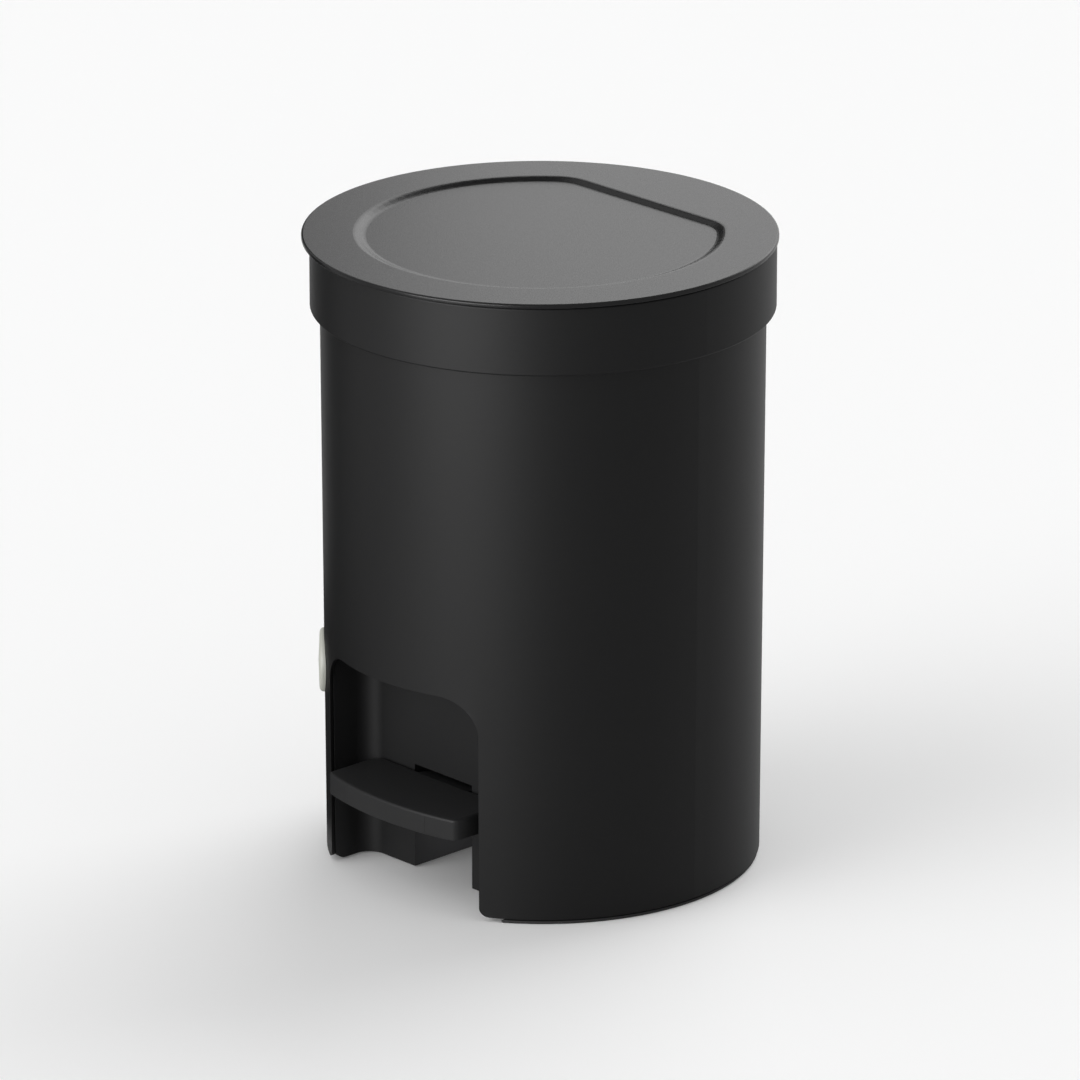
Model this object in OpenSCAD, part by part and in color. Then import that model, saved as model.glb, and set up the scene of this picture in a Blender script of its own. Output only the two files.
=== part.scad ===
// Round pedal bin with a dished lid, an inner bucket and a rod-driven lid hinge.
// Millimetres. +Z up, front at -Y, origin on the floor at the centre of the body.

/* [Body] */
// Height from the floor to the top of the lid
bin_h = 282.6; // [262:0.2:310]
// Outside diameter of the wall at its top edge
body_top_d = 192.4; // [188:0.2:204]
// Draft of the wall: how much its radius shrinks to the floor
body_draft = 1.4; // [1:0.1:2]
// Thickness of the wall
wall_t = 1.6; // [1.4:0.1:2]
// Width of the turned-in flange at the foot of the wall
shell_flange_w = 9.2; // [8.8:0.1:10]
// Height of the foot ring
foot_h = 2.2; // [2:0.1:3]
// Setback of the foot ring's outer edge from the wall
foot_setback = 0.5; // [0.3:0.1:1]

/* [Collar] */
// Height of the collar round the mouth
collar_h = 30; // [27:0.2:34]
// Step from the wall out to the collar
collar_step = 4.3; // [4:0.1:5]
// Thickness of the collar's skirt and of its top
collar_t = 2; // [1.6:0.1:2.4]
// Thickness of the guide wall inside the mouth
guide_t = 1.8; // [1.4:0.1:2.2]
// Width of the ledge that carries the bucket
ledge_w = 6.9; // [6:0.1:8]

/* [Lid] */
// Reach of the lid past the collar
lid_overhang = 2.1; // [1:0.1:3]
// Shift of the lid's centre towards the front
lid_shift = 1.8; // [0:0.1:2]
// Thickness of the lid's panel
lid_t = 1.6; // [1.4:0.1:1.7]
// Height of the lid's outer edge
lid_edge_h = 2; // [1.9:0.1:2.6]
// Gap between the lid's edge and the collar
lid_gap = 0.8; // [0.8:0.1:1.6]
// Distance from the lid's edge in to the dish
dish_inset = 22.2; // [18:0.2:30]
// Distance from the lid's centre to the dish's flat side
dish_flat = 65.2; // [60:0.2:68]
// Radius of the dish's two rear corners
dish_corner_r = 21; // [12:0.5:24]
// Depth of the dish
dish_depth = 1.5; // [1:0.1:2]
// Width of the slope round the dish
dish_slope_w = 5.5; // [4:0.1:7]
// Opening angle of the lid
lid_open_angle = 76; // [60:1:80]

/* [Pedal opening] */
// Width of the opening in the wall
opening_w = 94; // [92.5:0.5:98]
// Height of the opening above the floor
opening_h = 100.5; // [90:0.5:110]
// Radius of the opening's top corners
opening_corner_r = 17; // [10:0.5:24]
// Radius at the opening's foot
opening_foot_r = 4; // [2:0.5:5]
// Distance from the centre to the well's rear wall
well_back = 59.6; // [57:0.2:60.4]
// Radius of the well's rear corners
well_corner_r = 8; // [5:0.5:12]
// Thickness of the well's walls
well_t = 2.2; // [1.8:0.1:2.6]
// Width of the channel for the pedal's arm
channel_w = 36.4; // [34:0.2:40]

/* [Pedal] */
// Gap between the tread and each side of the well
tread_side_gap = 6.5; // [5:0.5:10]
// Height of the tread's top above the floor
tread_top = 46.4; // [44:0.2:52]
// Height of the tread's front face
tread_h = 9.4; // [8:0.2:11]
// How far the tread stands proud of the wall
tread_proud = 0.6; // [0:0.1:2]
// Radius of the tread's curved front
tread_front_r = 149; // [120:1:200]
// Gap between the tread and the well's rear wall
tread_gap = 1.4; // [1.2:0.1:3]
// Distance of the axle behind the centre
axle_y = 10; // [4:0.5:16]
// Height of the axle above the floor
axle_z = 27; // [25:0.2:29]
// Diameter of the axle
axle_d = 6; // [5:0.2:7]

/* [Rod and hinge] */
// Diameter of the push rod
rod_d = 4; // [3:0.2:4.4]
// Distance from the hinge's axis forward to the rod
crank_reach = 12; // [11.6:0.1:12.4]
// Diameter of the hinge pin
pin_d = 4; // [3:0.2:5]
// Depth of the hinge's axis below the top of the collar
hinge_drop = 6.5; // [6.2:0.1:7]
// Distance of the hinge's axis inside the collar's outer face
hinge_inset = 1.9; // [1.4:0.1:2.4]

/* [Bucket] */
// Thickness of the bucket's wall
bucket_t = 1.6; // [1.2:0.1:2]
// Draft of the bucket: how much its radius shrinks to the floor
bucket_draft = 5.6; // [3:0.1:8]
// Diameter of the bail's wire
bail_d = 3.5; // [2.6:0.1:4]
// Diameter of the bail's grip
grip_d = 7.2; // [6:0.1:7.6]

/* [Side bumper] */
// Diameter of the round bumper on the wall
bumper_d = 28.2; // [20:0.2:34]
// Thickness of the round bumper
bumper_t = 2.6; // [1.6:0.1:4]
// Height of the bumper's centre above the floor
bumper_z = 86.6; // [70:0.2:140]
// Angle of the bumper from the front, towards the user's left
bumper_turn = 43.4; // [42:0.2:90]

/* [Hidden] */

// Overrun of every cut
over = 1;
// Gap between pieces that are assembled and stay put
fit_gap = 0.3;
// Radial gap of a shaft in its hole
run_gap = 0.05;
// Gap that keeps a soft pad just off its seat
seat_gap = 0.1;
// Sides of large, middle and small rounds
fn_large = 180;
fn_mid = 64;
fn_small = 40;
// Steps along a quarter of a rounded edge
round_steps = 6;
// Grid on which worked-out places of joined rounds lie
grid = 0.001;
function on_grid(x) = round(x / grid) * grid;

// Levels of the mouth
collar_top = bin_h - lid_edge_h - lid_gap;
shell_top = collar_top - collar_t;
collar_bottom = collar_top - collar_h;
ledge_rise = 0.6;
ledge_t = 2;
ledge_bottom = collar_bottom + ledge_rise;
ledge_top = ledge_bottom + ledge_t;

// Radii of the mouth, from the wall inwards and outwards
body_base_d = body_top_d - 2 * body_draft;
function wall_r(z) = body_top_d / 2 - body_draft * (1 - z / shell_top);
function shell_in_r(z) = wall_r(z) - wall_t;
collar_r = wall_r(collar_bottom) + collar_step;
skirt_in_r = collar_r - collar_t;
guide_r = min(shell_in_r(ledge_bottom), shell_in_r(shell_top)) - fit_gap;
mouth_r = guide_r - guide_t;
ledge_r = mouth_r - ledge_w;
collar_edge_r = 1.1;
collar_foot_r = 0.7;

// Lid
lid_r = collar_r + lid_overhang;
lid_bottom = bin_h - lid_edge_h;
lid_under = bin_h - lid_t;
lid_lip_w = 1.6;
lid_edge_r = 0.8;
lid_foot_r = 0.4;
dish_r = lid_r - dish_inset;
dish_corner_y = dish_flat - dish_corner_r;
dish_corner_x = sqrt((dish_r - dish_corner_r) ^ 2 - dish_corner_y ^ 2);
dish_turn = atan2(dish_corner_y, dish_corner_x);
dish_under_w = 1;
dish_corner_step = (90 - dish_turn) / round_steps;
dish_steps = 72;
slope_steps = 3;
slice_t = 0.02;
lid_rib_t = 1.5;
lid_rib_h = 3.6;
lid_rib_inset = 5;
lid_rib_r = mouth_r - lid_rib_inset;
pad_d = 5;
pad_turns = [38, 130, 230, 322];
pad_r = (mouth_r + collar_r) / 2;

// Hinge at the back of the collar
hinge_y = collar_r - hinge_inset;
hinge_z = collar_top - hinge_drop;
barrel_r = 5;
barrel_half = 14;
lug_gap = 0.4;
lug_w = 5.4;
lug_r = 5.2;
lug_in = barrel_half + lug_gap;
lug_out = lug_in + lug_w;
lug_foot = 4;
lug_bottom = ledge_top + lug_foot;
lug_root_y = sqrt(guide_r ^ 2 - lug_out ^ 2) - fit_gap;
cap_r = 4;
cap_t = 1.6;
cap_x = lug_out + fit_gap;
pin_end = cap_x + cap_t + fit_gap;
notch_half = pin_end + over;
skirt_notch_h = 16;
notch_bottom = collar_top - skirt_notch_h;
notch_depth = 4;
notch_in_y = sqrt(mouth_r ^ 2 - notch_half ^ 2) - over;

// Crank on the hinge, and the rod that drives it
half_open = lid_open_angle / 2;
rod_r = rod_d / 2;
rod_y = hinge_y - crank_reach;
rod_lift = 2 * on_grid(crank_reach * tan(half_open));
rod_x = -8;
rod_bend_r = 5;
rod_top = hinge_z - rod_lift / 2;
crank_t = 5;
crank_slot_play = 0.65;
crank_end_play = 0.3;
crank_wall = 1.9;
crank_slot_r = rod_r + crank_slot_play;
crank_near = crank_reach - crank_end_play;
crank_far = crank_reach / cos(half_open) + crank_end_play;
clip_r = 3.5;
clip_t = 1.2;
clip_x = crank_t / 2 + lug_gap;
rod_end_x = clip_x + clip_t + rod_r / 2;
arm_pad_t = 2.4;
arm_boss_h = 2;
arm_pad_half = 13;
arm_pad_front = 28;
arm_pad_rear = 8;
arm_web_w = 6;
arm_screw_far = 20;
arm_screw_near = 12;
arm_screw_x = 7;
arm_screw_d = 3;
arm_head_d = 5.4;
arm_head_h = 1.8;
arm_skin = 1.2;
arm_pad_top = lid_under - arm_boss_h;

// Bushings that guide the rod
bushing_r = 4;
bushing_flange_r = 4.6;
bushing_flange_t = 1.4;
bushing_l = 6;

// Pedal well, flush with the sides of the opening; channel and deck
well_w = opening_w;
well_foot = 0.8;
well_foot_r = 6;
well_front_y = sqrt((shell_in_r(0) - fit_gap) ^ 2 - well_w ^ 2 / 4);
slot_gap = 2;
slot_top = tread_top + slot_gap;
lintel_h = 2;
deck_z = slot_top + lintel_h;
deck_t = 2.2;
deck_top = deck_z + deck_t;
ceiling_gap = 0.5;
ceiling_z = opening_h + ceiling_gap;
well_top = ceiling_z + well_t;
channel_back = 62;
frame_skirt_h = 14;
frame_skirt_t = 2.4;
frame_skirt_z = deck_top - frame_skirt_h;
frame_play = 0.5;
frame_r = shell_in_r(frame_skirt_z) - frame_play;
rib_t = 1.8;
rib_h = 14;
rib_y_shares = [-0.36, 0.38, 0.62];
lever_notch_x = 8;

// Screws that hold the foot ring, shell and frame together
post_r = 4.2;
post_turns = [40, 110, 250, 320];
post_inset = 6.2;
post_place_r = shell_in_r(0) - post_inset;
base_screw_d = 3;
base_head_d = 6;
base_screw_l = 14;
base_head_h = 1.5;
head_sink = 0.3;
screw_gap = 0.2;
foot_w = 12;
foot_end_gap = 8;
foot_chamfer = 0.5;
foot_groove_h = 0.8;
foot_groove_w = 1.4;
flange_root = 0.25;

// Axle of the pedal
axle_r = axle_d / 2;
boss_r = 7;
boss_l = 6;
boss_end = channel_w / 2 + well_t + boss_l;
axle_clip_t = 1.2;
axle_clip_r = 6;
axle_clip_x = boss_end + fit_gap;
axle_end = axle_clip_x + axle_clip_t + fit_gap;

// Pedal
tread_w = well_w - 2 * tread_side_gap;
tread_front = wall_r(tread_top) + tread_proud;
tread_back = well_back + tread_gap;
tread_t = 2.2;
tread_wall = 2;
tread_front_corner_r = 3;
tread_back_corner_r = 5.5;
tread_edge_r = 1;
edge_mid_rise_share = 0.7;
edge_mid_inset_share = 0.3;
tread_rib_t = 1.6;
tread_rib_x = 24;
side_play = 0.4;
bush_flange_t = 2;
hub_half = channel_w / 2 - side_play - bush_flange_t;
hub_r = 7;
web_t = 2;
arm_drop = 0.6;
arm_top = tread_top - arm_drop;
arm_bottom = tread_top - tread_h + arm_drop;
arm_root = tread_back + tread_wall;
arm_plate_t = 2.2;
lever_t = 5;
lever_reach = rod_y - axle_y;
lever_drop = rod_lift / 2;
eye_r = 5.2;
eye_play = 0.1;
eye_end_play = 0.12;
lever_hub_share = 0.8;
lever_rise = atan(lever_drop / lever_reach);
bush_r = 4.5;
bush_l = 8;
bush_flange_r = 6.5;

// Inner bucket
bucket_play = 0.9;
bucket_top_r = ledge_r - bucket_play;
floor_gap = 3.4;
bucket_floor = deck_top + floor_gap;
bucket_base_r = bucket_top_r - bucket_draft;
bucket_edge_r = 6;
rim_play = 2.9;
rim_r = mouth_r - rim_play;
rim_t = 1.8;
lip_t = 1.8;
lip_h = 4;
lip_top = ledge_top + lip_h;
rim_top = ledge_top + rim_t;
back_play = 5.5;
bucket_back = rod_y - rod_r - back_play;
rim_back_w = 2;
ledge_back_play = 1.2;
relief_play = 5.4;
relief_top_play = 2.8;
relief_y = well_back - well_t - relief_play;
relief_z = well_top + relief_top_play;

// Bail and its ears on the bucket
bail_r = bail_d / 2;
grip_r = grip_d / 2;
bail_run_gap = 0.08;
bail_z = lip_top + fit_gap + bail_r;
bail_bend_r = 3;
ear_r = 4.2;
ear_t = 2.7;
ear_proud = 0.4;
ear_out = rim_r + ear_proud;
ear_in = ear_out - ear_t;
bail_tip_l = 1.3;
bail_tip = ear_out + bail_tip_l;
bail_lip_play = 0.6;
bail_front = rim_r - lip_t - bail_lip_play - grip_r;
bail_bow_r = bail_front - bail_bend_r;
grip_turn = 50;
grip_gap = 0.1;

// Side bumper
bumper_edge_r = 2;
bumper_crown = 0.5;
bumper_gap = 0.05;

// A cylinder along X
module x_rod(r, x0, x1) {
    translate([x0, 0, 0]) rotate([0, 90, 0]) cylinder(r = r, h = x1 - x0);
}

// A ring along X
module x_ring(r_out, r_in, x0, x1) {
    difference() {
        x_rod(r_out, x0, x1);
        x_rod(r_in, x0 - over, x1 + over);
    }
}

// A side profile drawn in Y and Z, given a width along X
module side_plate(x0, x1) {
    translate([x0, 0, 0]) rotate([90, 0, 90]) linear_extrude(x1 - x0) children();
}

// A block given by its lowest and highest corners
module block(low, high) {
    translate(low) cube(high - low);
}

// A solid of revolution that follows the taper of the wall, grown outwards by a given amount
module tapered_core(z0, z1, grow) {
    rotate_extrude($fn = fn_large)
        polygon([[0, z0], [wall_r(z0) + grow, z0], [wall_r(z1) + grow, z1], [0, z1]]);
}

// Points of a quarter round about a centre, from one angle to another
function arc_points(cx, cz, r, a0, a1, steps = round_steps) =
    [for (i = [0:steps]) let (a = a0 + (a1 - a0) * i / steps) [cx + r * cos(a), cz + r * sin(a)]];

// Outline of the opening, drawn in X and Z
module opening_outline() {
    half = opening_w / 2;
    corner_x = half - opening_corner_r;
    corner_z = opening_h - opening_corner_r;
    translate([-half, -over]) square([opening_w, corner_z + over]);
    translate([-corner_x, -over]) square([2 * corner_x, opening_h + over]);
    for (side = [-1, 1]) {
        translate([side * corner_x, corner_z]) circle(r = opening_corner_r, $fn = fn_mid);
        difference() {
            translate([side * half, foot_h]) square(2 * opening_foot_r, center = true);
            translate([side * (half + opening_foot_r), foot_h + opening_foot_r])
                circle(r = opening_foot_r, $fn = fn_mid);
            translate([side * (half + opening_foot_r), foot_h - opening_foot_r])
                square(2 * opening_foot_r, center = true);
        }
    }
}

// Tapered wall with its turned-in foot flange, the pedal opening and the hinge notch
module outer_shell() {
    flange_in = shell_in_r(foot_h) - shell_flange_w;
    flange_top = foot_h + wall_t;
    color("#2f3032") difference() {
        rotate_extrude($fn = fn_large) polygon([
            [flange_in, foot_h], [wall_r(foot_h), foot_h], [wall_r(shell_top), shell_top],
            [shell_in_r(shell_top), shell_top], [shell_in_r(flange_top), flange_top], [flange_in, flange_top]]);
        rotate([90, 0, 0]) linear_extrude(body_base_d) opening_outline();
        intersection() {
            block([-well_w / 2 - well_t - fit_gap, -body_base_d, 0],
                  [well_w / 2 + well_t + fit_gap, 0, flange_top + over]);
            cylinder(r = shell_in_r(foot_h) - flange_root, h = bin_h, $fn = fn_large);
        }
        block([-notch_half - fit_gap, 0, lug_bottom - fit_gap],
              [notch_half + fit_gap, body_top_d, shell_top + over]);
        for (turn = post_turns)
            rotate([0, 0, turn]) translate([0, post_place_r, 0])
                cylinder(d = base_screw_d + 2 * screw_gap, h = flange_top + over, $fn = fn_small);
    }
}

// Collar: skirt, top, guide wall and bucket ledge, with two lugs for the hinge pin
module rim_collar() {
    step_top = collar_bottom + collar_t;
    step_in = max(wall_r(collar_bottom), wall_r(step_top)) + fit_gap;
    color("#333437") difference() {
        union() {
            rotate_extrude($fn = fn_large) polygon(concat(
                [[step_in, collar_bottom]],
                arc_points(collar_r - collar_foot_r, collar_bottom + collar_foot_r, collar_foot_r, -90, 0),
                arc_points(collar_r - collar_edge_r, collar_top - collar_edge_r, collar_edge_r, 0, 90),
                [[mouth_r, collar_top], [mouth_r, ledge_top], [ledge_r, ledge_top], [ledge_r, ledge_bottom],
                 [guide_r, ledge_bottom], [guide_r, shell_top], [skirt_in_r, shell_top],
                 [skirt_in_r, step_top], [step_in, step_top]]));
            intersection() {
                cylinder(r = guide_r, h = ledge_top, $fn = fn_large);
                block([-mouth_r, bucket_back + ledge_back_play, ledge_bottom], [mouth_r, guide_r, ledge_top]);
            }
        }
        block([-notch_half, notch_in_y, notch_bottom], [notch_half, collar_r + over, shell_top]);
        block([-lug_in, mouth_r - notch_depth, lug_bottom], [lug_in, collar_r + over, collar_top + over]);
        block([-notch_half, notch_in_y, lug_bottom], [notch_half, skirt_in_r - collar_step / 2, shell_top]);
        translate([rod_x, rod_y, ledge_bottom - over])
            cylinder(r = bushing_r + run_gap, h = ledge_t + 2 * over, $fn = fn_small);
    }
    color("#333437") for (side = [0, 1]) mirror([side, 0, 0]) difference() {
        side_plate(lug_in, lug_out) {
            translate([guide_r - notch_depth, lug_bottom])
                square([hinge_y - guide_r + notch_depth, shell_top - lug_bottom]);
            translate([guide_r - notch_depth, ledge_top])
                square([lug_root_y - guide_r + notch_depth, lug_foot + lug_w]);
            translate([hinge_y, hinge_z]) circle(r = lug_r, $fn = fn_mid);
        }
        translate([0, hinge_y, hinge_z])
            x_rod(pin_d / 2 + run_gap, lug_in - over, lug_out + over, $fn = fn_small);
    }
}

// Plan of the well, grown outwards by a given amount
module well_plan(grow) {
    corner_x = well_w / 2 - well_corner_r;
    corner_y = -well_back - well_corner_r;
    translate([-well_w / 2 - grow, -body_base_d]) square([well_w + 2 * grow, body_base_d + corner_y]);
    translate([-corner_x, corner_y - over]) square([2 * corner_x, well_corner_r + grow + over]);
    for (side = [-1, 1])
        translate([side * corner_x, corner_y]) circle(r = well_corner_r + grow, $fn = fn_mid);
}

// Moulded frame: pedal well, arm channel with axle bearings, deck with ribs, and screw posts
module base_frame() {
    channel_in = channel_w / 2;
    channel_out = channel_in + well_t;
    color("#1c1d1f") difference() {
        union() {
            // Walls and ceiling of the well, trimmed to the inside of the shell
            intersection() {
                union() {
                    translate([0, 0, well_foot]) linear_extrude(well_top - well_foot) difference() {
                        well_plan(well_t);
                        well_plan(0);
                    }
                    translate([0, 0, ceiling_z]) linear_extrude(well_t) well_plan(well_t);
                }
                tapered_core(0, bin_h, -wall_t - fit_gap);
            }
            // Deck and its skirt
            difference() {
                translate([0, 0, deck_z]) cylinder(r = frame_r, h = deck_t, $fn = fn_large);
                translate([0, 0, deck_z - over]) linear_extrude(deck_t + 2 * over) well_plan(well_t / 2);
            }
            difference() {
                translate([0, 0, frame_skirt_z]) cylinder(r = frame_r, h = frame_skirt_h, $fn = fn_large);
                translate([0, 0, frame_skirt_z - over])
                    cylinder(r = frame_r - frame_skirt_t, h = frame_skirt_h + 2 * over, $fn = fn_large);
                translate([0, 0, frame_skirt_z - over])
                    linear_extrude(frame_skirt_h + 2 * over) well_plan(well_t / 2);
                block([rod_x - bushing_flange_r - fit_gap, 0, frame_skirt_z - over],
                      [lever_notch_x, body_base_d, deck_z]);
            }
            // Channel walls, bearing bosses and ribs, on both sides
            for (side = [0, 1]) mirror([side, 0, 0]) {
                block([channel_in, -well_back, well_foot], [channel_out, channel_back, deck_z + deck_t / 2]);
                translate([0, axle_y, axle_z]) x_rod(boss_r, channel_in, boss_end, $fn = fn_mid);
                for (y = frame_r * rib_y_shares)
                    block([channel_in, y - rib_t / 2, deck_z - rib_h],
                          [sqrt(frame_r ^ 2 - y ^ 2) - frame_skirt_t, y + rib_t / 2, deck_z + deck_t / 2]);
            }
            for (turn = post_turns)
                rotate([0, 0, turn]) translate([0, post_place_r, foot_h + wall_t])
                    cylinder(r = post_r, h = deck_z - foot_h - wall_t / 2, $fn = fn_small);
        }
        // Rounded lower front corners of the well's side walls
        side_plate(-well_w, well_w) difference() {
            translate([-well_front_y - well_foot_r, -over])
                square([2 * well_foot_r, well_foot_r + well_foot + over]);
            translate([-well_front_y + well_foot_r, well_foot + well_foot_r])
                circle(r = well_foot_r, $fn = fn_mid);
        }
        // Slot for the pedal's arm in the well's rear wall
        block([-channel_in, -well_back - over, 0], [channel_in, -well_back + well_t + over, slot_top]);
        // Bores of the axle bearings
        translate([0, axle_y, axle_z])
            x_rod(axle_r + run_gap, -boss_end - over, boss_end + over, $fn = fn_small);
        // Hole for the rod's lower bushing
        translate([rod_x, rod_y, deck_z - over])
            cylinder(r = bushing_r + run_gap, h = deck_t + 2 * over, $fn = fn_small);
        for (turn = post_turns)
            rotate([0, 0, turn]) translate([0, post_place_r, 0])
                cylinder(r = base_screw_d / 2 + run_gap, h = base_screw_l + 2 * over, $fn = fn_small);
    }
}

// C-shaped ring that the bin stands on, open at the pedal
module foot_ring() {
    out_r = wall_r(0) - foot_setback;
    in_r = out_r - foot_w;
    color("#222325") difference() {
        rotate_extrude($fn = fn_large) polygon([
            [in_r + foot_chamfer, 0], [out_r - foot_chamfer, 0], [out_r, foot_chamfer],
            [out_r, foot_h - foot_groove_h], [out_r - foot_groove_w, foot_h - foot_groove_h],
            [out_r - foot_groove_w, foot_h],
            [in_r, foot_h], [in_r, foot_chamfer]]);
        block([-opening_w / 2 - foot_end_gap, -body_base_d, -over],
              [opening_w / 2 + foot_end_gap, 0, foot_h + over]);
        for (turn = post_turns) rotate([0, 0, turn]) translate([0, post_place_r, 0]) {
            translate([0, 0, -over])
                cylinder(r = base_screw_d / 2 + screw_gap, h = foot_h + 2 * over, $fn = fn_small);
            cylinder(r1 = base_head_d / 2 + screw_gap + head_sink, r2 = base_screw_d / 2 + screw_gap,
                     h = base_head_h + head_sink, $fn = fn_small);
        }
    }
}

// Countersunk screws through the foot ring into the frame's posts
module base_screws() {
    color("#b9bcc0") for (turn = post_turns)
        rotate([0, 0, turn]) translate([0, post_place_r, head_sink]) {
            cylinder(r1 = base_head_d / 2, r2 = base_screw_d / 2, h = base_head_h, $fn = fn_small);
            cylinder(d = base_screw_d, h = base_screw_l - head_sink, $fn = fn_small);
        }
}

module pedal_axle() {
    color("#c3c6ca") translate([0, axle_y, axle_z]) x_rod(axle_r, -axle_end, axle_end, $fn = fn_small);
}

module axle_clips() {
    color("#d5d8db") for (side = [0, 1]) mirror([side, 0, 0]) translate([0, axle_y, axle_z])
        x_ring(axle_clip_r, axle_r + run_gap, axle_clip_x, axle_clip_x + axle_clip_t, $fn = fn_small);
}

module hinge_pin() {
    color("#c3c6ca") translate([0, hinge_y, hinge_z]) x_rod(pin_d / 2, -pin_end, pin_end, $fn = fn_small);
}

module hinge_caps() {
    color("#d5d8db") for (side = [0, 1]) mirror([side, 0, 0]) translate([0, hinge_y, hinge_z])
        x_ring(cap_r, pin_d / 2 + run_gap, cap_x, cap_x + cap_t, $fn = fn_small);
}

// Flanged bushing that guides the rod; its flange rests on the given level
module rod_bushing(z) {
    difference() {
        union() {
            translate([0, 0, z + bushing_flange_t - bushing_l]) cylinder(r = bushing_r, h = bushing_l);
            translate([0, 0, z]) cylinder(r = bushing_flange_r, h = bushing_flange_t);
        }
        translate([0, 0, z - bushing_l]) cylinder(r = rod_r + run_gap, h = 2 * bushing_l);
    }
}

module lower_bushing() {
    color("#e6e4dc") translate([rod_x, rod_y, 0]) rod_bushing(deck_top, $fn = fn_small);
}

module upper_bushing() {
    color("#e6e4dc") translate([rod_x, rod_y, 0]) rod_bushing(ledge_top, $fn = fn_small);
}

// Low domed round pad that follows the curve of the wall
module side_bumper() {
    half = bumper_d / 2;
    face = wall_r(bumper_z) + bumper_t;
    color("#c9cbc0") rotate([0, 0, -90 - bumper_turn]) difference() {
        translate([0, 0, bumper_z]) rotate([0, 90, 0]) rotate_extrude($fn = fn_large)
            polygon(concat(
                [[0, face - 2 * bumper_t - bumper_edge_r], [half, face - 2 * bumper_t - bumper_edge_r]],
                arc_points(half - bumper_edge_r, face - bumper_crown - bumper_edge_r, bumper_edge_r, 0, 90),
                [[0, face]]));
        tapered_core(0, bin_h, bumper_gap);
    }
}

// Outline of the dish, grown outwards by a given amount: a long arc, two round corners and a flat back
function dish_outline(grow) = concat(
    arc_points(0, 0, dish_r + grow, 180 - dish_turn, 360 + dish_turn, dish_steps),
    arc_points(dish_corner_x, dish_corner_y, dish_corner_r + grow, dish_turn + dish_corner_step, 90,
               round_steps - 1),
    arc_points(-dish_corner_x, dish_corner_y, dish_corner_r + grow, 90, 180 - dish_turn - dish_corner_step,
               round_steps - 1));

// Thin slice of the dish's hollow at a share of its slope, from the floor to the rim
module dish_slice(share) {
    translate([0, 0, bin_h - dish_depth * (1 + cos(180 * share)) / 2])
        linear_extrude(slice_t) polygon(dish_outline(-dish_slope_w * (1 - share)));
}

// Hollow of the dish: below half its depth the slope bulges, and above it each step is a slab of its own
module dish_hollow() {
    hull() for (i = [0:slope_steps]) dish_slice(i / (2 * slope_steps));
    for (i = [slope_steps:2 * slope_steps - 1]) hull() {
        dish_slice(i / (2 * slope_steps));
        dish_slice((i + 1) / (2 * slope_steps));
    }
    translate([0, 0, bin_h]) linear_extrude(over) polygon(dish_outline(0));
}

// Lid: thin panel with a rounded edge, a dished top and a locating rib below
module lid() {
    color("#5a5b5e") translate([0, -lid_shift, 0]) {
        difference() {
            union() {
                rotate_extrude($fn = fn_large) polygon(concat(
                    [[0, lid_under], [lid_r - lid_lip_w, lid_under], [lid_r - lid_lip_w, lid_bottom]],
                    arc_points(lid_r - lid_foot_r, lid_bottom + lid_foot_r, lid_foot_r, -90, 0),
                    arc_points(lid_r - lid_edge_r, bin_h - lid_edge_r, lid_edge_r, 0, 90),
                    [[0, bin_h]]));
                translate([0, 0, lid_under - dish_depth]) linear_extrude(dish_depth + lid_t / 2)
                    polygon(dish_outline(dish_under_w));
            }
            dish_hollow();
            arm_screw_places() cylinder(d = arm_screw_d + 2 * run_gap, h = bin_h - arm_skin, $fn = fn_small);
        }
        difference() {
            rotate_extrude($fn = fn_large)
                translate([lid_rib_r - lid_rib_t, lid_under - lid_rib_h])
                    square([lid_rib_t, lid_rib_h + lid_t / 2]);
            block([-lug_in, 0, lid_under - lid_rib_h - over], [lug_in, lid_r, bin_h]);
        }
        difference() {
            arm_screw_places() translate([0, 0, arm_pad_top])
                cylinder(d = arm_head_d, h = arm_boss_h + lid_t / 2, $fn = fn_small);
            arm_screw_places() cylinder(d = arm_screw_d + 2 * run_gap, h = bin_h - arm_skin, $fn = fn_small);
        }
    }
}

// Places of the screws that hold the hinge arm, measured from the lid's centre
module arm_screw_places() {
    for (x = [-arm_screw_x, arm_screw_x], y = [arm_screw_near, arm_screw_far])
        translate([x, hinge_y + lid_shift - y, 0]) children();
}

// Soft pads under the lid's edge
module lid_bumpers() {
    color("#17181a") for (turn = pad_turns)
        rotate([0, 0, turn]) translate([0, pad_r, collar_top + seat_gap])
            cylinder(d = pad_d, h = lid_under - collar_top - seat_gap, $fn = fn_small);
}

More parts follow.
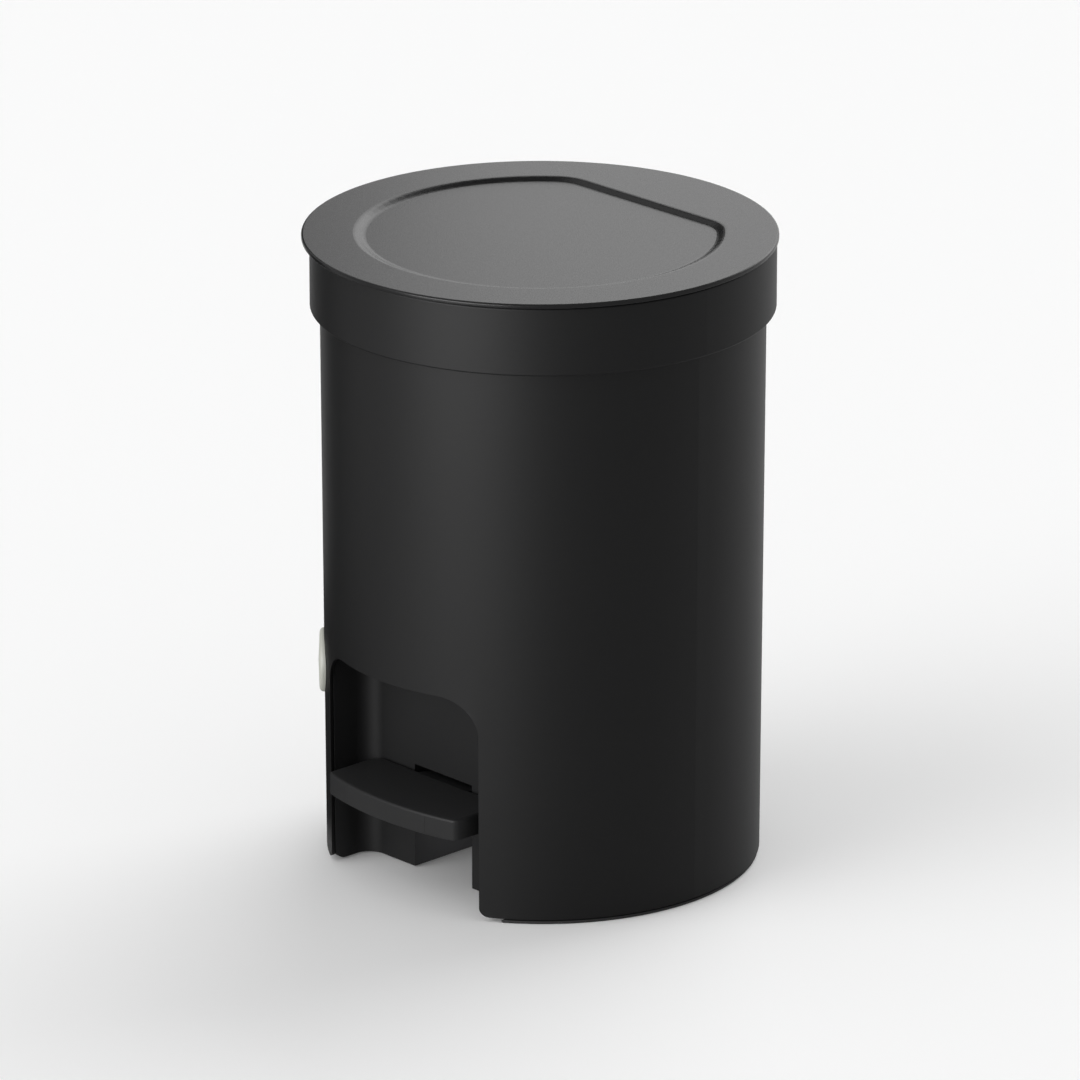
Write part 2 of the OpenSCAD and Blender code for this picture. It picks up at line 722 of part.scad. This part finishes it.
// Hinge arm under the lid: screwed pad, web, barrel round the pin, and the slotted crank
module hinge_arm() {
    tip_r = crank_slot_r + crank_wall;
    color("#1f2022") difference() {
        union() {
            block([-arm_pad_half, hinge_y - arm_pad_front, arm_pad_top - arm_pad_t],
                  [arm_pad_half, hinge_y - arm_pad_rear, arm_pad_top]);
            side_plate(-barrel_half, barrel_half) translate([hinge_y, hinge_z]) {
                circle(r = barrel_r, $fn = fn_mid);
                polygon([[-arm_pad_rear - over, arm_pad_top - arm_pad_t - hinge_z],
                         [-arm_pad_rear - over, arm_pad_top - hinge_z],
                         [-arm_web_w / 2, arm_pad_top - hinge_z], [barrel_r, 0], [0, 0]]);
            }
            side_plate(-crank_t / 2, crank_t / 2) translate([hinge_y, hinge_z]) rotate(180 + half_open) {
                translate([0, -tip_r]) square([crank_far, 2 * tip_r]);
                translate([crank_far, 0]) circle(r = tip_r, $fn = fn_mid);
            }
        }
        translate([0, hinge_y, hinge_z]) x_rod(pin_d / 2 + run_gap, -barrel_half - over, barrel_half + over,
                                               $fn = fn_small);
        side_plate(-crank_t, crank_t) translate([hinge_y, hinge_z]) rotate(180 + half_open) {
            translate([crank_near, -crank_slot_r]) square([crank_far - crank_near, 2 * crank_slot_r]);
            for (x = [crank_near, crank_far]) translate([x, 0]) circle(r = crank_slot_r, $fn = fn_mid);
        }
        translate([0, -lid_shift, 0]) arm_screw_places()
            cylinder(d = arm_screw_d + 2 * screw_gap, h = bin_h, $fn = fn_small);
    }
}

module hinge_screws() {
    color("#b9bcc0") translate([0, -lid_shift, 0]) arm_screw_places() {
        translate([0, 0, arm_pad_top - arm_pad_t - arm_head_h])
            cylinder(d = arm_head_d, h = arm_head_h, $fn = fn_small);
        translate([0, 0, arm_pad_top - arm_pad_t])
            cylinder(d = arm_screw_d, h = arm_pad_t + arm_boss_h + fit_gap, $fn = fn_small);
    }
}

// Plan of the tread, drawn in by a given amount
module tread_plan(inset) {
    half = tread_w / 2 - inset;
    front_r = tread_front_r - inset;
    front_corner = tread_front_corner_r - inset;
    back_corner = tread_back_corner_r - inset;
    centre_y = tread_front_r - tread_front;
    corner_x = tread_w / 2 - tread_front_corner_r;
    corner_y = centre_y - sqrt((tread_front_r - tread_front_corner_r) ^ 2 - corner_x ^ 2);
    touch_x = corner_x * front_r / (tread_front_r - tread_front_corner_r);
    back_x = tread_w / 2 - tread_back_corner_r;
    back_y = -tread_back - tread_back_corner_r;
    intersection() {
        translate([0, centre_y]) circle(r = front_r, $fn = 2 * fn_large);
        translate([-touch_x, -body_base_d]) square([2 * touch_x, body_base_d + back_y]);
    }
    translate([-half, corner_y]) square([2 * half, back_y - corner_y]);
    translate([-back_x, corner_y]) square([2 * back_x, -tread_back - inset - corner_y]);
    for (side = [-1, 1]) {
        translate([side * corner_x, corner_y]) circle(r = front_corner, $fn = fn_small);
        translate([side * back_x, back_y]) circle(r = back_corner, $fn = fn_small);
    }
}

// Pedal: hollow tread, arm through the slot, hub on the axle and lever back to the rod
module pedal() {
    eye_far = lever_reach / cos(lever_rise) + eye_end_play;
    eye_near = lever_reach - eye_end_play;
    color("#242527") difference() {
        union() {
            // Tread, hollow from below
            difference() {
                hull() {
                    translate([0, 0, tread_top - tread_h])
                        linear_extrude(tread_h - tread_edge_r) tread_plan(0);
                    translate([0, 0, tread_top - tread_edge_r])
                        linear_extrude(tread_edge_r * edge_mid_rise_share)
                            tread_plan(tread_edge_r * edge_mid_inset_share);
                    translate([0, 0, tread_top - tread_edge_r]) linear_extrude(tread_edge_r)
                        tread_plan(tread_edge_r);
                }
                translate([0, 0, tread_top - tread_h - over])
                    linear_extrude(tread_h - tread_t + over) tread_plan(tread_wall);
            }
            for (x = [-tread_rib_x, tread_rib_x])
                block([x - tread_rib_t / 2, -tread_front + tread_wall, tread_top - tread_h + arm_drop],
                      [x + tread_rib_t / 2, -tread_back - tread_wall / 2, tread_top - tread_t / 2]);
            // Arm: two webs, a cover plate and the hub
            for (side = [0, 1]) mirror([side, 0, 0]) side_plate(hub_half - web_t, hub_half)
                polygon([[-tread_front + tread_wall, arm_top], [-tread_front + tread_wall, arm_bottom],
                         [-arm_root, arm_bottom], [axle_y, axle_z - hub_r], [axle_y, axle_z + hub_r],
                         [-arm_root, arm_top]]);
            side_plate(-hub_half, hub_half)
                polygon([[-arm_root, arm_top], [-arm_root, arm_top - arm_plate_t],
                         [axle_y, axle_z + hub_r - arm_plate_t], [axle_y, axle_z + hub_r]]);
            translate([0, axle_y, axle_z]) x_rod(hub_r, -hub_half, hub_half, $fn = fn_mid);
            // Lever from the hub to the rod
            side_plate(-lever_t / 2, lever_t / 2) {
                polygon([[axle_y, axle_z + hub_r * lever_hub_share], [rod_y, axle_z - lever_drop + eye_r],
                         [rod_y, axle_z - lever_drop - eye_r], [axle_y, axle_z - hub_r * lever_hub_share]]);
                translate([rod_y, axle_z - lever_drop]) circle(r = eye_r, $fn = fn_mid);
            }
            side_plate(-lever_t, lever_t)
                polygon([[axle_y, axle_z + hub_r * lever_hub_share],
                         [axle_y, axle_z + hub_r * lever_hub_share - arm_plate_t],
                         [rod_y - 2 * eye_r, axle_z - lever_drop + eye_r - arm_plate_t],
                         [rod_y - 2 * eye_r, axle_z - lever_drop + eye_r]]);
        }
        translate([0, axle_y, axle_z]) {
            x_rod(axle_r + screw_gap, -hub_half - over, hub_half + over, $fn = fn_small);
            for (side = [0, 1]) mirror([side, 0, 0])
                x_rod(bush_r + run_gap, hub_half - bush_l, hub_half + over, $fn = fn_small);
            side_plate(-lever_t, lever_t) rotate(-lever_rise) {
                translate([eye_near, -rod_r - eye_play])
                    square([eye_far - eye_near, 2 * (rod_r + eye_play)]);
                for (y = [eye_near, eye_far]) translate([y, 0]) circle(r = rod_r + eye_play, $fn = fn_small);
            }
        }
    }
}

// Flanged bushes in the ends of the pedal's hub
module pedal_bushes() {
    color("#e6e4dc") for (side = [0, 1]) mirror([side, 0, 0]) translate([0, axle_y, axle_z])
        difference() {
            union() {
                x_rod(bush_r, hub_half - bush_l + fit_gap, hub_half, $fn = fn_small);
                x_rod(bush_flange_r, hub_half, hub_half + bush_flange_t, $fn = fn_small);
            }
            x_rod(axle_r + run_gap, hub_half - bush_l - over, hub_half + bush_flange_t + over, $fn = fn_small);
        }
}

// Push rod: upright wire with both ends bent towards the crank and the lever
module push_rod() {
    foot = axle_z - lever_drop;
    color("#c3c6ca") translate([0, rod_y, 0]) {
        translate([rod_x, 0, foot + rod_bend_r])
            cylinder(r = rod_r, h = rod_top - foot - 2 * rod_bend_r, $fn = fn_small);
        for (z = [foot, rod_top])
            translate([0, 0, z]) x_rod(rod_r, rod_x + rod_bend_r, rod_end_x, $fn = fn_small);
        translate([rod_x + rod_bend_r, 0, foot + rod_bend_r]) rotate([90, 0, 0])
            rotate([0, 0, 180]) rotate_extrude(angle = 90, $fn = fn_mid)
                translate([rod_bend_r, 0]) circle(r = rod_r, $fn = fn_small);
        translate([rod_x + rod_bend_r, 0, rod_top - rod_bend_r]) rotate([90, 0, 0])
            rotate([0, 0, 90]) rotate_extrude(angle = 90, $fn = fn_mid)
                translate([rod_bend_r, 0]) circle(r = rod_r, $fn = fn_small);
    }
}

module rod_clips() {
    color("#d5d8db") for (z = [axle_z - lever_drop, rod_top]) translate([0, rod_y, z])
        x_ring(clip_r, rod_r + run_gap, clip_x, clip_x + clip_t, $fn = fn_small);
}

// Bucket: tapered, with a flat back for the rod, a front relief over the pedal well, and a rim with ears
module inner_bucket() {
    inner_floor = bucket_floor + bucket_t;
    inner_edge = bucket_edge_r - bucket_t;
    color("#3a3b3e") {
        difference() {
            rotate_extrude($fn = fn_large) polygon(concat(
                [[0, bucket_floor]],
                arc_points(bucket_base_r - bucket_edge_r, bucket_floor + bucket_edge_r, bucket_edge_r, -90, 0),
                [[bucket_top_r, ledge_top], [rim_r, ledge_top], [rim_r, lip_top], [rim_r - lip_t, lip_top],
                 [rim_r - lip_t, rim_top], [0, rim_top]]));
            block([-body_top_d, -body_top_d, 0], [body_top_d, -relief_y, relief_z]);
            block([-body_top_d, bucket_back, 0], [body_top_d, body_top_d, ledge_top]);
            block([-body_top_d, bucket_back + rim_back_w, 0], [body_top_d, body_top_d, bin_h]);
            difference() {
                rotate_extrude($fn = fn_large) polygon(concat(
                    [[0, inner_floor]],
                    arc_points(bucket_base_r - bucket_edge_r, inner_floor + inner_edge, inner_edge, -90, 0),
                    [[bucket_top_r - bucket_t, rim_top], [bucket_top_r - bucket_t, rim_top + over],
                     [0, rim_top + over]]));
                block([-body_top_d, -body_top_d, 0], [body_top_d, -relief_y + bucket_t, relief_z + bucket_t]);
                block([-body_top_d, bucket_back - bucket_t, 0], [body_top_d, body_top_d, bin_h]);
            }
        }
        for (side = [0, 1]) mirror([side, 0, 0]) difference() {
            side_plate(ear_in, ear_out) {
                translate([0, bail_z]) circle(r = ear_r, $fn = fn_mid);
                translate([-ear_r, rim_top - rim_t / 2]) square([2 * ear_r, bail_z - rim_top + rim_t / 2]);
            }
            translate([0, 0, bail_z])
                x_rod(bail_r + bail_run_gap, ear_in - over, ear_out + over, $fn = fn_small);
        }
    }
}

// Bail: a bowed wire whose bent ends turn in the bucket's ears, folded down to the front
module bail_handle() {
    color("#c3c6ca") translate([0, 0, bail_z]) {
        translate([0, -bail_bend_r, 0]) rotate([0, 0, 180]) rotate_extrude(angle = 180, $fn = fn_large)
            translate([bail_bow_r, 0]) circle(r = bail_r, $fn = fn_small);
        for (side = [0, 1]) mirror([side, 0, 0]) {
            translate([bail_bow_r + bail_bend_r, -bail_bend_r, 0]) rotate([0, 0, 90])
                rotate_extrude(angle = 90, $fn = fn_mid)
                    translate([bail_bend_r, 0]) circle(r = bail_r, $fn = fn_small);
            x_rod(bail_r, bail_bow_r + bail_bend_r, bail_tip, $fn = fn_small);
        }
    }
}

// Moulded grip round the middle of the bail
module bail_grip() {
    color("#1f2022") translate([0, -bail_bend_r, bail_z]) rotate([0, 0, -90 - grip_turn / 2])
        rotate_extrude(angle = grip_turn, $fn = fn_large) translate([bail_bow_r, 0]) difference() {
            circle(r = grip_r, $fn = fn_small);
            circle(r = bail_r + grip_gap, $fn = fn_small);
        }
}

outer_shell();
rim_collar();
base_frame();
foot_ring();
base_screws();
pedal_axle();
axle_clips();
hinge_pin();
hinge_caps();
lower_bushing();
upper_bushing();
side_bumper();
lid();
lid_bumpers();
hinge_arm();
hinge_screws();
pedal();
pedal_bushes();
push_rod();
rod_clips();
inner_bucket();
bail_handle();
bail_grip();
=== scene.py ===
"""Looks of the round pedal bin: camera, light, floor and a procedural material for every piece."""
import math

import bpy
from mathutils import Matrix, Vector

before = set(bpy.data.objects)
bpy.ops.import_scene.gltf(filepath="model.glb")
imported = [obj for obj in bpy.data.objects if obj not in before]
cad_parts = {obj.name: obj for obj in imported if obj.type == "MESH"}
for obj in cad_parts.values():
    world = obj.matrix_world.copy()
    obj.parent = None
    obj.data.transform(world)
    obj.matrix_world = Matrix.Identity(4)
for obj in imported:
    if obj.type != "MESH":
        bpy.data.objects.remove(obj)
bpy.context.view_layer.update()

MM = 0.001
WHITE = (1.0, 1.0, 1.0, 1.0)

# Camera: where the photograph was taken from, in degrees and metres
CAMERA_AZIMUTH = 46.6
CAMERA_ELEVATION = 19.49
CAMERA_DISTANCE = 4.0
CAMERA_TARGET_Z = 0.14168
CAMERA_SIDESTEP = -0.001375
CAMERA_LENS = 307.5
CAMERA_SENSOR = 36.0
CAMERA_CLIP = (0.1, 60.0)

# Floor: its size, its grey, and how much of what the eye sees of it glows by itself
FLOOR_SIZE = 16.0
FLOOR_GREY = 0.945
FLOOR_GLOW_SHARE = 0.08

# Distant softboxes: azimuth, elevation and spread in degrees, and the share of the floor's light
SUNS = {
    "key": {"azimuth": -17.0, "elevation": 40.0, "spread": 50.0, "share": 0.15},
    "rim": {"azimuth": 195.0, "elevation": 40.0, "spread": 50.0, "share": 0.27},
    "low_key": {"azimuth": -12.0, "elevation": 14.0, "spread": 36.0, "share": 0.05},
    "low_rim": {"azimuth": 178.0, "elevation": 14.0, "spread": 36.0, "share": 0.02},
}
SUN_DISTANCE = 3.0

# White surroundings: the share of the floor's light that they give
WORLD_SHARE = 0.52

# Softboxes that only gloss shows: place round a point of the axis, size in metres, power in watts
REFLECTORS = {
    "lid_band": {"azimuth": 206.0, "elevation": 20.0, "distance": 1.5, "height": 0.28,
                 "size": (1.25, 0.6), "power": 2.25},
    "wall_glow": {"azimuth": 8.0, "elevation": 8.0, "distance": 1.1, "height": 0.14,
                  "size": (0.9, 0.5), "power": 24.0},
}

# Fill in the arm channel
WELL_FILL_PLACE = (0.017, -0.038, 0.017)
WELL_FILL_SIZE = (0.014, 0.04)
WELL_FILL_POWER = 0.028

# Dark cards that only reflections show: azimuths of both ends, radius and height of both edges
FLAGS = {
    # A dark sheet lying on the floor beside the base, which only reflections show: painted shade in the
    # lower wall's reflection of the floor.
    "painted_floor_shade": (-42.0, -128.0, (0.107, 0.001), (0.40, 0.001)),
    "flag_low": (-62.0, -91.0, (0.40, 0.0), (0.40, 0.32)),
    "flag_left": (-104.0, -128.0, (3.5, 0.0), (3.5, 2.6)),
    "flag_high": (-122.0, -200.0, (1.2, 1.15), (1.2, 3.4)),
}
FLAG_STEPS = 8
# Black of the cards, and of the painted shade that the floor sheet puts into reflections.
FLAG_COLOUR = (0.02, 0.02, 0.02, 1.0)

# Moulded plastic: softened edges, eroded grain, and flow mottling per metre
EDGE_RADIUS = 0.4 * MM
EDGE_SAMPLES = 6
GRAIN_DETAIL = 3.0
GRAIN_ROUGHNESS = 0.6
FLOW_SCALE = 14.0
FLOW_DETAIL = 4.0
FLOW_ROUGHNESS = 0.55

# Drawn steel: fine lines along the piece, and cloudiness
LINE_STRETCH = (1.0, 1.0, 0.03)
LINE_SCALE = 3500.0
LINE_DETAIL = 3.0
LINE_DEPTH = 0.01 * MM
LINE_STRENGTH = 0.5
CLOUD_SCALE = 160.0
CLOUD_DETAIL = 3.0
CLOUD_TONES = (0.85, 1.1)
STEEL_ROUGHNESS_SPREAD = 0.08

BODY_BLACK = (0.004, 0.004, 0.0042)

LOOK_OF_NODE = {
    "outer_shell": "body", "rim_collar": "collar", "base_frame": "frame", "foot_ring": "foot",
    "base_screws": "screw", "pedal_axle": "steel", "axle_clips": "clip", "hinge_pin": "steel",
    "hinge_caps": "clip", "lower_bushing": "bushing", "upper_bushing": "bushing",
    "side_bumper": "pale", "lid": "lid", "lid_bumpers": "foot", "hinge_arm": "frame",
    "hinge_screws": "screw", "pedal": "pedal", "pedal_bushes": "bushing", "push_rod": "steel",
    "rod_clips": "clip", "inner_bucket": "bucket", "bail_handle": "steel", "bail_grip": "frame",
}


class Nodes:
    """Builds one node tree: a node by type with its settings and inputs, and links between sockets."""

    def __init__(self, tree):
        self.tree = tree
        tree.nodes.clear()

    def add(self, kind, settings=None, **inputs):
        node = self.tree.nodes.new(kind)
        for key, value in (settings or {}).items():
            setattr(node, key, value)
        for key, value in inputs.items():
            self.feed(node.inputs[key.replace("_", " ")], value)
        return node

    def feed(self, socket, value):
        if isinstance(value, bpy.types.NodeSocket):
            self.tree.links.new(value, socket)
        else:
            socket.default_value = value


def new_material(name):
    material = bpy.data.materials.new(name)
    material.use_nodes = True
    return material, Nodes(material.node_tree)


def add_output(nodes, shader):
    out = nodes.add("ShaderNodeOutputMaterial")
    nodes.feed(out.inputs["Surface"], shader.outputs[0])


def new_object(name, data):
    thing = bpy.data.objects.new(name, data)
    bpy.context.scene.collection.objects.link(thing)
    return thing


def around(azimuth, elevation, distance, height=0.0):
    """Point seen from the bin's axis at an azimuth (0 is the front, 90 the +X side) and an elevation."""
    turn, lift = math.radians(azimuth), math.radians(elevation)
    flat = distance * math.cos(lift)
    return Vector((flat * math.sin(turn), -flat * math.cos(turn), height + distance * math.sin(lift)))


def aim(thing, place, target):
    thing.location = place
    look = Vector(target) - Vector(place)
    thing.rotation_euler = look.to_track_quat("-Z", "Y").to_euler()


def add_camera():
    data = bpy.data.cameras.new("camera")
    data.sensor_width = CAMERA_SENSOR
    data.lens = CAMERA_LENS
    data.clip_start, data.clip_end = CAMERA_CLIP
    camera = new_object("camera", data)
    turn = math.radians(CAMERA_AZIMUTH)
    sidestep = Vector((math.cos(turn), math.sin(turn), 0.0)) * CAMERA_SIDESTEP
    place = around(CAMERA_AZIMUTH, CAMERA_ELEVATION, CAMERA_DISTANCE, CAMERA_TARGET_Z) + sidestep
    aim(camera, place, Vector((0.0, 0.0, CAMERA_TARGET_Z)) + sidestep)
    bpy.context.scene.camera = camera


def seen_rays(nodes):
    """1 for the rays that show the background itself: the camera's, mirrored and refracted ones."""
    path = nodes.add("ShaderNodeLightPath")
    pair = nodes.add("ShaderNodeMath", {"operation": "ADD", "use_clamp": True})
    nodes.feed(pair.inputs[0], path.outputs["Is Camera Ray"])
    nodes.feed(pair.inputs[1], path.outputs["Is Glossy Ray"])
    seen = nodes.add("ShaderNodeMath", {"operation": "ADD", "use_clamp": True})
    nodes.feed(seen.inputs[0], pair.outputs[0])
    nodes.feed(seen.inputs[1], path.outputs["Is Transmission Ray"])
    return seen.outputs[0]


def add_world():
    world = bpy.data.worlds.new("studio")
    bpy.context.scene.world = world
    world.use_nodes = True
    nodes = Nodes(world.node_tree)
    strength = nodes.add("ShaderNodeMapRange", To_Min=WORLD_SHARE, To_Max=1.0, Value=seen_rays(nodes))
    background = nodes.add("ShaderNodeBackground", Color=WHITE, Strength=strength.outputs["Result"])
    out = nodes.add("ShaderNodeOutputWorld")
    nodes.feed(out.inputs["Surface"], background.outputs[0])


def add_sun(name, azimuth, elevation, spread, share):
    """Distant softbox that gives the floor a share of its light, so that the floor is lit evenly."""
    data = bpy.data.lights.new(name, "SUN")
    data.energy = math.pi * share / math.sin(math.radians(elevation))
    data.angle = math.radians(spread)
    aim(new_object(name, data), around(azimuth, elevation, SUN_DISTANCE), (0.0, 0.0, 0.0))


def new_softbox(name, size, power):
    """Rectangular light that the camera doesn't see."""
    data = bpy.data.lights.new(name, "AREA")
    data.shape = "RECTANGLE"
    data.size, data.size_y = size
    data.energy = power
    light = new_object(name, data)
    light.visible_camera = False
    return light


def add_reflector(name, azimuth, elevation, distance, height, size, power):
    """Softbox that only gloss shows: it draws a highlight and leaves the light on the floor as it is."""
    light = new_softbox(name, size, power)
    light.visible_diffuse = False
    aim(light, around(azimuth, elevation, distance, height), (0.0, 0.0, height))


def add_well_fill():
    """Small fill that only the moulded frame receives: the floor's bounce under the pedal."""
    light = new_softbox("well_fill", WELL_FILL_SIZE, WELL_FILL_POWER)
    light.visible_glossy = False
    aim(light, WELL_FILL_PLACE, (-1.0, WELL_FILL_PLACE[1], WELL_FILL_PLACE[2]))
    lit = bpy.data.collections.new("lit_by_well_fill")
    lit.objects.link(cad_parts["base_frame"])
    light.light_linking.receiver_collection = lit


def add_lights():
    for name, values in SUNS.items():
        add_sun(name, **values)
    for name, values in REFLECTORS.items():
        add_reflector(name, **values)
    add_well_fill()


def add_floor():
    mesh = bpy.data.meshes.new("floor")
    half = FLOOR_SIZE / 2
    corners = [(-half, -half, 0), (half, -half, 0), (half, half, 0), (-half, half, 0)]
    mesh.from_pydata(corners, [], [(0, 1, 2, 3)])
    floor = new_object("floor", mesh)
    material, nodes = new_material("floor_white")
    share = nodes.add("ShaderNodeMath", {"operation": "MULTIPLY"})
    nodes.feed(share.inputs[0], seen_rays(nodes))
    nodes.feed(share.inputs[1], FLOOR_GLOW_SHARE)
    matte = nodes.add("ShaderNodeBsdfDiffuse", Color=(FLOOR_GREY, FLOOR_GREY, FLOOR_GREY, 1.0))
    glow = nodes.add("ShaderNodeEmission", Color=WHITE, Strength=1.0)
    mix = nodes.add("ShaderNodeMixShader", Fac=share.outputs[0])
    nodes.feed(mix.inputs[1], matte.outputs[0])
    nodes.feed(mix.inputs[2], glow.outputs[0])
    add_output(nodes, mix)
    mesh.materials.append(material)


def add_flags():
    """Dark cards round the set, as a studio uses, so that chosen sides stay dark in reflections; the
    sheet on the floor beside the base is painted shade in the wall's reflection of the floor.
    """
    material, nodes = new_material("flag_black")
    add_output(nodes, nodes.add("ShaderNodeBsdfDiffuse", Color=FLAG_COLOUR))
    for name, (start, end, *edges) in FLAGS.items():
        turns = [start + (end - start) * i / FLAG_STEPS for i in range(FLAG_STEPS + 1)]
        points = [around(turn, 0.0, radius, height) for turn in turns for radius, height in edges]
        faces = [(2 * i, 2 * i + 2, 2 * i + 3, 2 * i + 1) for i in range(FLAG_STEPS)]
        mesh = bpy.data.meshes.new(name)
        mesh.from_pydata(points, [], faces)
        mesh.materials.append(material)
        flag = new_object(name, mesh)
        flag.visible_camera = False
        flag.visible_diffuse = False
        flag.visible_shadow = False


def toned(nodes, colour, low, high, noise):
    """The colour, made darker and lighter between two factors by a noise."""
    tone = nodes.add("ShaderNodeMapRange", To_Min=low, To_Max=high, Value=noise.outputs["Fac"])
    shade = nodes.add("ShaderNodeVectorMath", {"operation": "SCALE"}, Scale=tone.outputs["Result"])
    nodes.feed(shade.inputs[0], colour)
    return shade.outputs["Vector"]


def roughened(nodes, roughness, spread, noise):
    """The roughness, varied by a noise within a spread to both sides."""
    gloss = nodes.add("ShaderNodeMapRange", To_Min=roughness - spread, To_Max=roughness + spread,
                      Value=noise.outputs["Fac"])
    return gloss.outputs["Result"]


def moulded_plastic(name, colour, roughness, specular=0.5, grain_mm=0.35, grain_depth=0.02,
                    mottle=0.12, roughness_spread=0.06):
    """Moulded plastic: a fine eroded grain, faint flow mottling in colour and gloss."""
    material, nodes = new_material(name)
    where = nodes.add("ShaderNodeTexCoord").outputs["Object"]
    grain = nodes.add("ShaderNodeTexNoise", Vector=where, Scale=1.0 / (grain_mm * MM),
                      Detail=GRAIN_DETAIL, Roughness=GRAIN_ROUGHNESS)
    flow = nodes.add("ShaderNodeTexNoise", Vector=where, Scale=FLOW_SCALE, Detail=FLOW_DETAIL,
                     Roughness=FLOW_ROUGHNESS)
    edge = nodes.add("ShaderNodeBevel", {"samples": EDGE_SAMPLES}, Radius=EDGE_RADIUS)
    bump = nodes.add("ShaderNodeBump", Strength=1.0, Distance=grain_depth * MM,
                     Height=grain.outputs["Fac"], Normal=edge.outputs["Normal"])
    surface = nodes.add("ShaderNodeBsdfPrincipled", Normal=bump.outputs["Normal"],
                        Base_Color=toned(nodes, colour, 1.0 - mottle, 1.0 + mottle, flow),
                        Roughness=roughened(nodes, roughness, roughness_spread, grain),
                        Specular_IOR_Level=specular)
    add_output(nodes, surface)
    return material


def drawn_steel(name, colour, roughness):
    """Plated steel with fine drawing lines along the piece and faint cloudiness."""
    material, nodes = new_material(name)
    where = nodes.add("ShaderNodeTexCoord").outputs["Object"]
    stretch = nodes.add("ShaderNodeMapping", Vector=where, Scale=LINE_STRETCH)
    lines = nodes.add("ShaderNodeTexNoise", Vector=stretch.outputs["Vector"], Scale=LINE_SCALE,
                      Detail=LINE_DETAIL)
    cloud = nodes.add("ShaderNodeTexNoise", Vector=where, Scale=CLOUD_SCALE, Detail=CLOUD_DETAIL)
    bump = nodes.add("ShaderNodeBump", Strength=LINE_STRENGTH, Distance=LINE_DEPTH,
                     Height=lines.outputs["Fac"])
    surface = nodes.add("ShaderNodeBsdfPrincipled", Metallic=1.0, Normal=bump.outputs["Normal"],
                        Base_Color=toned(nodes, colour, *CLOUD_TONES, cloud),
                        Roughness=roughened(nodes, roughness, STEEL_ROUGHNESS_SPREAD, lines))
    add_output(nodes, surface)
    return material


def make_materials():
    """One material for each look: linear colour, roughness, and what differs from the usual moulding."""
    return {
        "body": moulded_plastic("body_black", BODY_BLACK, 0.5, specular=0.13),
        "collar": moulded_plastic("collar_black", BODY_BLACK, 0.5, specular=0.13),
        "lid": moulded_plastic("lid_black", (0.008, 0.008, 0.0083), 0.27, specular=0.13,
                               grain_depth=0.011),
        "frame": moulded_plastic("frame_black", (0.012, 0.012, 0.0124), 0.55, specular=0.12),
        "pedal": moulded_plastic("pedal_black", (0.019, 0.019, 0.0194), 0.5, specular=0.10),
        "bucket": moulded_plastic("bucket_grey", (0.02, 0.02, 0.021), 0.5, specular=0.4),
        "foot": moulded_plastic("foot_rubber", (0.006, 0.006, 0.0062), 0.7, specular=0.3,
                                grain_mm=0.6),
        "pale": moulded_plastic("bumper_cream", (0.49, 0.50, 0.447), 0.5, specular=0.4,
                                mottle=0.05),
        "bushing": moulded_plastic("bushing_white", (0.7, 0.68, 0.62), 0.4, mottle=0.04),
        "steel": drawn_steel("wire_steel", (0.5, 0.51, 0.52), 0.3),
        "clip": drawn_steel("clip_steel", (0.56, 0.57, 0.58), 0.36),
        "screw": drawn_steel("screw_steel", (0.42, 0.42, 0.42), 0.38),
    }


def dress_nodes(materials):
    for name, look in LOOK_OF_NODE.items():
        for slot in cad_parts[name].material_slots:
            slot.material = materials[look]


bpy.context.scene.view_settings.view_transform = "Standard"
add_camera()
add_world()
add_lights()
add_floor()
add_flags()
dress_nodes(make_materials())
